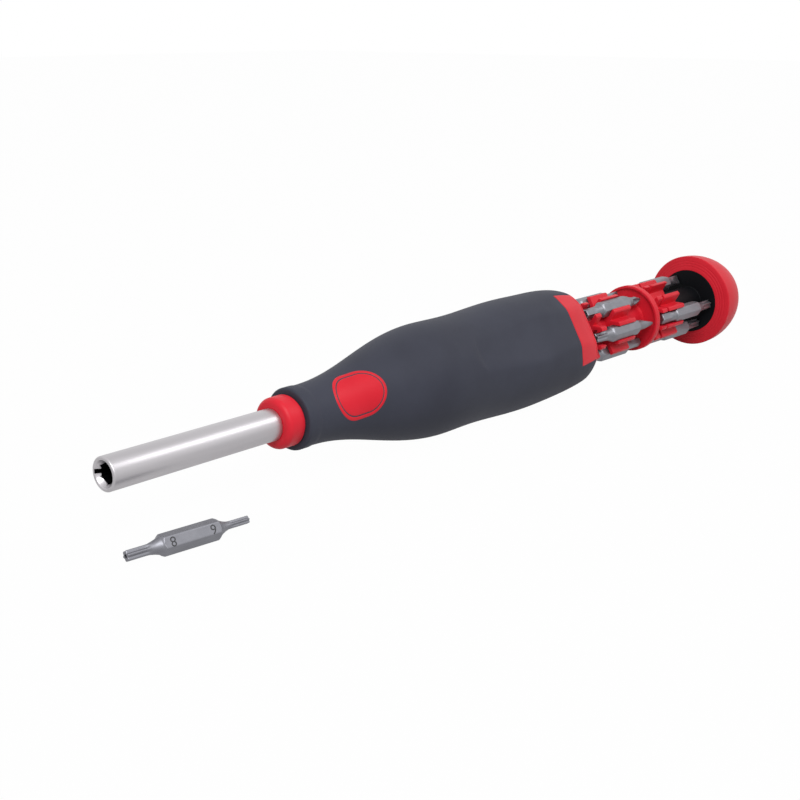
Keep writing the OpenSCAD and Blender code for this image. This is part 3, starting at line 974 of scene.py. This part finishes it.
@dataclass
class Magazine:
    """Pull-out magazine: guide, spindle, two rows of clips, the disc between them and the cap."""

    guide_x: float = 148.696
    guide_end_x: float = 150.296
    guide_r: float = 10.109
    sleeve_r: float = 5.3
    sleeve_end_x: float = 158.546
    bore_r: float = 2.53
    hub_r: float = 4.6
    front_x: float = 158.646
    disc_x: float = 185.796
    disc_l: float = 2.0
    disc_r: float = 9.509
    rim_w: float = 0.8
    rim_l: float = 0.6
    rear_end_x: float = 203.696
    front_clip_x: float = 167.446
    rear_fin_x: float = 190.446
    rear_clip_x: float = 193.946
    fin_l: float = 2.5
    clip_l: float = 8.5
    insert_x: float = 219.596
    insert_end_x: float = 222.496
    insert_r: float = 9.5
    insert_sleeve_r: float = 4.5
    cap_r: float = 13.7
    rim_x: float = 220.496
    dome_x: float = 221.096
    dome_l: float = 17.8
    head_x: float = 147.596
    neck_x: float = 148.596
    rod_end_x: float = 229.496
    head_r: float = 4.2
    rod_r: float = 2.5
    corner_round: float = 0.2
    insert_round: float = 0.25
    clip_edge: float = 0.12
    seam: float = 0.03
    groove_shares: tuple[float, ...] = (0.28, 0.46, 0.64)
    groove_half_share: float = 0.05
    groove_depth: float = 0.06

    def guide(self) -> Surface:
        """Guide disc with its sleeve, bored for the spindle.

        Returns:
            The closed guide.
        """
        bore = self.bore_r + self.seam
        sleeve = (self.guide_end_x, self.sleeve_r, self.sleeve_end_x)
        return turned_loop(stepped(bore, self.guide_x, self.guide_r, *sleeve, bore), self.corner_round, 128)

    def spindle(self) -> Surface:
        """Rod with its head, from the guide to the cap."""
        corners = stepped(0, self.head_x, self.head_r, self.neck_x, self.rod_r, self.rod_end_x, 0)
        return turned(soften(corners, self.corner_round), 96)

    def holder(self, x0: float, x1: float, fin_x: float, clip_x: float) -> Surface:
        """Hub between two stations with a thin star for the front tips and a long one for the hexagons.

        Args:
            x0: front of the hub.
            x1: rear of the hub.
            fin_x: front of the thin star.
            clip_x: front of the long star.

        Returns:
            The hub and its two stars as one surface.
        """
        star = ClipStar().outline()
        hub = stepped(self.bore_r, x0, self.hub_r, x1, self.bore_r)
        fins = plate(star, fin_x, fin_x + self.fin_l, self.clip_edge)
        clips = plate(star, clip_x, clip_x + self.clip_l, self.clip_edge)
        return turned_loop(hub, self.corner_round, 128) + fins + clips

    def disc(self) -> Surface:
        """Disc between the rows, with a raised rim on its front.

        Returns:
            The closed disc.
        """
        x, floor, end = self.disc_x, self.disc_x + self.rim_l, self.disc_x + self.disc_l
        rim = self.disc_r - self.rim_w
        corners = stepped(self.bore_r, x, self.hub_r, floor, rim, x, self.disc_r, end, self.bore_r)
        return turned_loop(corners, self.corner_round, 192)

    def insert(self) -> Surface:
        """Disc inside the cap's rim, with a sleeve on its front.

        Returns:
            The closed insert.
        """
        disc = (self.insert_x, self.insert_r, self.insert_end_x)
        corners = stepped(self.bore_r, self.rear_end_x, self.insert_sleeve_r, *disc, self.bore_r)
        return turned_loop(corners, self.insert_round, 160)

    def cap(self) -> Surface:
        """Cap with three fine grooves in a sloping front face, a soft rim and a dome on a quarter ellipse.

        Returns:
            The closed cap.
        """
        a = np.linspace(0, np.pi / 2, 48)
        dome = np.stack([self.dome_x + self.dome_l * np.sin(a), self.cap_r * np.cos(a)], -1)
        dome[-1, 1] = 0
        seat = self.insert_r + self.seam
        plug = np.array([[self.insert_end_x, 0], [self.insert_end_x, seat], [self.insert_x, seat]])
        rim = np.array([[self.rim_x, self.cap_r], [self.dome_x, self.cap_r]])
        sides = self.groove_half_share * np.array([-1, 0, 1])
        share = (np.array(self.groove_shares)[:, None] + sides).reshape(-1, 1)
        grooves = plug[2] + share * (rim[0] - plug[2])
        grooves[1::3, 0] += self.groove_depth
        # The rounding of the rim's rear corner takes the place of the dome's first points.
        dome = dome[4:]
        setback = np.concatenate([[0.1, 0.12], np.full(len(grooves), 0.04), [0.45, 0.3]])
        rounded = soften(np.concatenate([plug, grooves, rim, dome[:1]]), setback, 7)[:-1]
        return turned(np.concatenate([rounded, dome]), 224)

    def build(self, shelf: Shelf) -> None:
        """Make and dress the magazine without its bits.

        Args:
            shelf: the finishes.
        """
        front = self.holder(self.front_x, self.disc_x, self.front_x, self.front_clip_x)
        rear = self.holder(self.disc_x + self.disc_l, self.rear_end_x, self.rear_fin_x, self.rear_clip_x)
        add_piece("guide_piece", self.guide(), shelf.black, "slider", "black_plastic", "guide")
        add_piece("spindle_rod", self.spindle(), shelf.red, "magazine", "red_plastic", "spindle")
        add_piece("front_clips", front, shelf.red, "magazine", "red_plastic", "front_bit_holder")
        add_piece("row_disc", self.disc(), shelf.red, "magazine", "red_plastic", "middle_disc")
        add_piece("rear_clips", rear, shelf.red, "magazine", "red_plastic", "rear_bit_holder")
        add_piece("cap_plug", self.insert(), shelf.black, "magazine", "black_plastic", "cap_insert")
        add_piece("cap_shell", self.cap(), shelf.red, "magazine", "red_plastic", "cap_dome")


class TipKind(Enum):
    """Kinds of tip that a bit may have."""

    STAR = "six lobes"
    SLOT = "flat blade"
    CROSS = "four webs"
    HEX = "hexagon"


STAR, SLOT, CROSS, HEX = TipKind
Tips = tuple[TipKind, TipKind]


@dataclass
class Bit:
    """Double-ended bit about its middle, with one corner of its hexagon up."""

    kinds: Tips
    widths: Pair
    drilled: bool = False
    flat: float = 2.0
    corner_r: float = 2.26
    root_r: float = 1.72
    root_share: float = 0.98
    length: float = 28.0
    hex_half: float = 6.75
    taper_l: float = 2.6
    point_l: float = 3.4
    hole_r: float = 0.4
    hole_l: float = 1.6
    lobe_share: float = 0.27
    blade_share: float = 0.8
    web_share: float = 0.26
    point_share: float = 0.3
    end_share: float = 0.14
    edge_soft: float = 0.08
    web_soft: float = 0.12
    cut_soft: float = 0.06
    fade_half: float = 0.9
    columns: int = 144

    def tip_radius(self, kind: TipKind, width: float, x: Array, turn: Array) -> Array:
        """Radius of a tip's section.

        Six lobes are a cosine of six times the turn, and a blade is the smaller of a circle and a
        wedge that thins to its end. A cross is the larger of two webs inside a cone that runs to
        a point, and a hexagon is its side's distance over the cosine to that side.

        Args:
            kind: the kind of tip.
            width: width over the tip.
            x: distances from the bit's middle.
            turn: angles in radians.

        Returns:
            The radius at each distance and turn.
        """
        r = width / 2
        start, stop = self.hex_half + self.taper_l, self.length / 2
        if kind is STAR:
            return r * (1 - self.lobe_share * (0.5 + 0.5 * np.cos(6 * turn))) + 0 * x
        if kind is SLOT:
            half = r - self.blade_share * r * np.clip((x - start) / (stop - start), 0, 1)
            return soft_min(r + 0 * turn, half / np.maximum(np.abs(np.sin(turn)), TINY), self.edge_soft)
        if kind is CROSS:
            nearest = np.minimum(np.abs(np.sin(turn)), np.abs(np.cos(turn)))
            arms = self.web_share * r / np.maximum(nearest, TINY)
            slope = self.point_share + (1 - self.point_share) * (stop - x) / self.point_l
            return soft_min(np.minimum(r, r * slope) + 0 * turn, arms, self.web_soft)
        return polygon_radius(r * math.cos(math.radians(HALF_SIDE)), 6, turn) + 0 * x

    def half(self, kind: TipKind, width: float) -> tuple[Array, Array]:
        """Half of the bit, from its middle outwards.

        The hexagon is cut by a 45 degree cone, a hollow taper on a quarter sine leads to the tip,
        and the tip's section fades in over the end of the taper. Its end is slightly rounded.

        Args:
            kind: the kind of tip.
            width: width over the tip.

        Returns:
            Distances from the middle, one per ring, and the radii by ring and place.
        """
        turn = full_turn(self.columns)
        taper_x, end = self.hex_half + self.taper_l, self.length / 2
        x = np.concatenate([
            [0.5, 3.0, 5.6], np.linspace(5.95, self.hex_half, 9), np.linspace(6.85, taper_x, 16),
            np.linspace(taper_x + 0.1, taper_x + 1.2, 9), np.linspace(taper_x + 1.4, end - 0.2, 14),
            [end - 0.12, end - 0.05, end],
        ])[:, None]
        corners = np.full_like(turn, self.corner_r)
        hexagon = soft_min(polygon_radius(self.flat, 6, turn), corners, self.edge_soft)
        body = soft_min(hexagon + 0 * x, self.root_r + self.hex_half - x + 0 * turn, self.cut_soft)
        share = np.clip((x - self.hex_half) / self.taper_l, 0, 1)
        neck = width / 2 + (self.root_r - width / 2) * (1 - np.sin(np.pi / 2 * share))
        fade = smooth_step(taper_x - self.fade_half, taper_x + self.fade_half, x)
        tip = (1 - fade) * neck + fade * np.minimum(neck, self.tip_radius(kind, width, x, turn))
        radius = np.where(x <= self.hex_half, np.maximum(body, self.root_share * self.root_r), tip)
        radius = radius * (1 - self.end_share * smooth_step(end - 0.2, end + 0.05, x) ** 1.5)
        if self.drilled:
            x = np.concatenate([x, [[end], [end - self.hole_l]]])
            radius = np.concatenate([radius, np.full((2, self.columns), self.hole_r)])
        return x[:, 0], radius

    def surface(self) -> Surface:
        """Both halves as one closed skin about the bit's middle.

        Returns:
            The closed bit.
        """
        front_x, front_r = self.half(self.kinds[0], self.widths[0])
        rear_x, rear_r = self.half(self.kinds[1], self.widths[1])
        x = np.concatenate([-front_x[::-1], rear_x])
        radius = np.concatenate([front_r[::-1], rear_r])
        return tube(around(x[:, None], radius, full_turn(self.columns)), x[0], x[-1])


@dataclass
class BitRows:
    """Stored bits of both rows, each at its own place round the magazine."""

    pitch_r: float = 7.2
    first_turn: float = 30.0
    place_turn: float = 60.0
    front_mid_x: float = 171.396
    rear_mid_x: float = 205.196
    front_w: Pair = (2.8, 2.8)
    rear_w: Pair = (3.4, 2.8)
    front_tips: tuple[Tips, ...] = (
        (HEX, CROSS), (STAR, SLOT), (HEX, HEX), (STAR, STAR), (HEX, HEX), (STAR, SLOT),
    )
    rear_tips: tuple[Tips, ...] = ((HEX, STAR), (HEX, STAR), (STAR, CROSS), (STAR, HEX), (HEX, SLOT))

    def put(self, bit: Bit, place: int, mid_x: float) -> Surface:
        """A bit's surface carried to one place of a row.

        Args:
            bit: the bit.
            place: its place, counted from 0.
            mid_x: station of the row's middle.

        Returns:
            The surface at that place.
        """
        made = bit.surface()
        turn = self.first_turn + self.place_turn * place
        return Surface(about_axis(made.points + [mid_x, 0, self.pitch_r], turn), made.faces)

    def build(self, shelf: Shelf) -> None:
        """Make and dress the six front bits and the five rear bits, whose row starts at its second place.

        Args:
            shelf: the finishes.
        """
        front = ("front", 0, self.front_mid_x, self.front_w, self.front_tips)
        rear = ("rear", 1, self.rear_mid_x, self.rear_w, self.rear_tips)
        for row, start, mid_x, widths, tips in (front, rear):
            for place, kinds in enumerate(tips, start):
                number = place - start + 1
                shape = self.put(Bit(kinds, widths), place, mid_x)
                node = f"{row}_bit_{number}"
                add_piece(f"{row}_steel_{number}", shape, shelf.bit, "magazine", "bit_steel", node)


@dataclass
class LooseBit:
    """Bit that lies beside the shaft on one of its flats, with a size figure near each end."""

    x: float = 9.0
    side: float = 13.7
    floor_z: float = -13.9
    turn: float = -5.6
    flat: float = 2.0
    tip_w: Pair = (2.3, 1.7)
    figure_size: float = 2.8
    figure_raise: float = 0.012
    figures: tuple[tuple[str, float], ...] = (("8", -4.6), ("6", 4.6))

    def laid(self, points: Array) -> Array:
        """Points of a bit about its middle, laid on a flat and turned on the surface.

        Args:
            points: points, one row each.

        Returns:
            The points where the bit lies.
        """
        angle = math.radians(self.turn)
        c, s = math.cos(angle), math.sin(angle)
        place = [self.x, -self.side, self.floor_z + self.flat]
        return about_axis(points, HALF_SIDE) @ np.array([[c, s, 0], [-s, c, 0], [0, 0, 1]]) + place

    def figure(self, text: str, at: float) -> Surface:
        """A figure on the flat that faces up and to -Y, with its foot towards the top.

        Args:
            text: the figure.
            at: its middle along the bit.

        Returns:
            The figure as a thin closed plate, laid with the bit.
        """
        curve = bpy.data.curves.new("figure", "FONT")
        curve.body = text
        curve.align_x, curve.align_y = "CENTER", "CENTER"
        curve.size = self.figure_size
        curve.extrude = self.figure_raise
        holder = linked("figure", curve)
        mesh = bpy.data.meshes.new_from_object(holder)
        points = np.zeros(len(mesh.vertices) * 3)
        mesh.vertices.foreach_get("co", points)
        points = points.reshape(-1, 3)
        faces = [np.array([list(face.vertices)]) for face in mesh.polygons]
        bpy.data.objects.remove(holder)
        bpy.data.curves.remove(curve)
        bpy.data.meshes.remove(mesh)
        local = np.stack([at - points[:, 0], -points[:, 1], self.flat + points[:, 2]], -1)
        return Surface(self.laid(about_axis(local, HALF_SIDE)), faces)

    def build(self, shelf: Shelf) -> None:
        """Make and dress the loose bit and its figures.

        Args:
            shelf: the finishes.
        """
        made = Bit((STAR, STAR), self.tip_w, drilled=True).surface()
        body = Surface(self.laid(made.points), made.faces)
        add_piece("spare_steel", body, shelf.bit, "loose_bit", "bit_steel", "loose_bit")
        (first, first_at), (second, second_at) = self.figures
        marks = self.figure(first, first_at) + self.figure(second, second_at)
        add_piece("spare_figures", marks, shelf.mark, "loose_bit", "bit_steel")


# Studio


def aim(item: bpy.types.Object, at: Point, along: Vector) -> None:
    """Move a light or camera to a place, and face it along a direction."""
    item.location = at
    item.rotation_euler = along.to_track_quat("-Z", "Y").to_euler()


@dataclass(frozen=True)
class Lamp:
    """Square soft light that faces the driver, in metres and watts."""

    name: str
    at: Point
    size: float
    watts: float
    to: Point = (0.09, 0.0, 0.0)

    def build(self) -> None:
        """Hang the light."""
        light = bpy.data.lights.new(self.name, "AREA")
        light.size, light.energy = self.size, self.watts
        aim(linked(self.name, light), self.at, Vector(self.to) - Vector(self.at))


@dataclass
class Studio:
    """White floor, soft lights and the camera at the photograph's angle, in metres."""

    floor_z: float = -0.01392
    floor_half: float = 3.0
    floor_lines: int = 25
    floor_grey: float = 0.5
    camera_white: float = 0.985
    mirror_white: float = 0.6
    camera_at: Point = (-0.14426, -0.20376, 0.08395)
    camera_along: Point = (0.71985, 0.63801, -0.27343)
    lens: float = 60.374
    sensor: float = 36.0
    near: float = 0.01
    world: float = 0.36
    key: Lamp = Lamp("key_light", (0.57, -0.44, 0.56), 0.3, 0.9)
    front: Lamp = Lamp("front_light", (-0.3, -0.45, 0.65), 0.5, 5.9)

    def floor(self) -> None:
        """Floor as a plain grid, white to the camera, a little darker in reflections, with the shadow."""
        line = np.linspace(-self.floor_half, self.floor_half, self.floor_lines)
        x, y = np.meshgrid(line, line, indexing="ij")
        points = np.stack([x, y, np.full_like(x, self.floor_z)], -1).reshape(-1, 3)
        index = np.arange(line.size ** 2).reshape(line.size, line.size)
        faces = np.stack([index[:-1, :-1], index[1:, :-1], index[1:, 1:], index[:-1, 1:]], -1).reshape(-1, 4)
        mesh = bpy.data.meshes.new("floor")
        mesh.from_pydata(points.tolist(), [], faces.tolist())
        material = bpy.data.materials.new("floor_white")
        bench = Bench(material)
        grey = self.floor_grey
        lit = bench.node("BsdfDiffuse", {"Color": (grey, grey, grey, 1.0)})
        white = bench.node("Emission", {})
        mirrored = bench.calc("MULTIPLY", self.seen(bench), self.mirror_white)
        camera = bench.node("LightPath", {}).outputs["Is Camera Ray"]
        share = bench.calc("MULTIPLY_ADD", camera, self.camera_white - self.mirror_white, mirrored)
        mix = bench.node("MixShader", {"Fac": share, 1: lit.outputs[0], 2: white.outputs[0]})
        bench.node("OutputMaterial", {"Surface": mix.outputs[0]})
        mesh.materials.append(material)
        floor = linked("floor", mesh)

    def seen(self, bench: Bench) -> Socket:
        """Value that is 1 for camera, glossy and transmission rays, and 0 for others.

        Args:
            bench: the node tree that it goes into.

        Returns:
            The output with the value.
        """
        rays = bench.node("LightPath", {}).outputs
        shown = bench.calc("MAXIMUM", rays["Is Camera Ray"], rays["Is Glossy Ray"])
        return bench.calc("MAXIMUM", shown, rays["Is Transmission Ray"])

    def sky(self) -> None:
        """World of even soft light, white where the camera or a reflection sees it."""
        world = bpy.data.worlds.new("studio")
        bpy.context.scene.world = world
        bench = Bench(world)
        soft = bench.node("Background", {"Color": WHITE, "Strength": self.world})
        white = bench.node("Background", {"Color": WHITE})
        mix = bench.node("MixShader", {"Fac": self.seen(bench), 1: soft.outputs[0], 2: white.outputs[0]})
        bench.node("OutputWorld", {"Surface": mix.outputs[0]})

    def camera(self) -> None:
        """Camera at the photograph's place and angle."""
        data = bpy.data.cameras.new("camera")
        data.lens, data.sensor_width, data.clip_start = self.lens, self.sensor, self.near
        camera = linked("camera", data)
        aim(camera, self.camera_at, Vector(self.camera_along))
        bpy.context.scene.camera = camera

    def build(self) -> None:
        """Set the stage."""
        bpy.context.scene.view_settings.view_transform = "Standard"
        self.camera()
        self.floor()
        self.sky()
        self.key.build()
        self.front.build()


def main() -> None:
    """Build the studio and each sub-assembly in order."""
    logging.basicConfig(level=logging.INFO, format="%(message)s")
    Studio().build()
    shelf = Shelf()
    Shaft().build(shelf)
    Handle().build(shelf)
    Magazine().build(shelf)
    BitRows().build(shelf)
    LooseBit().build(shelf)


if __name__ == "__main__":
    main()
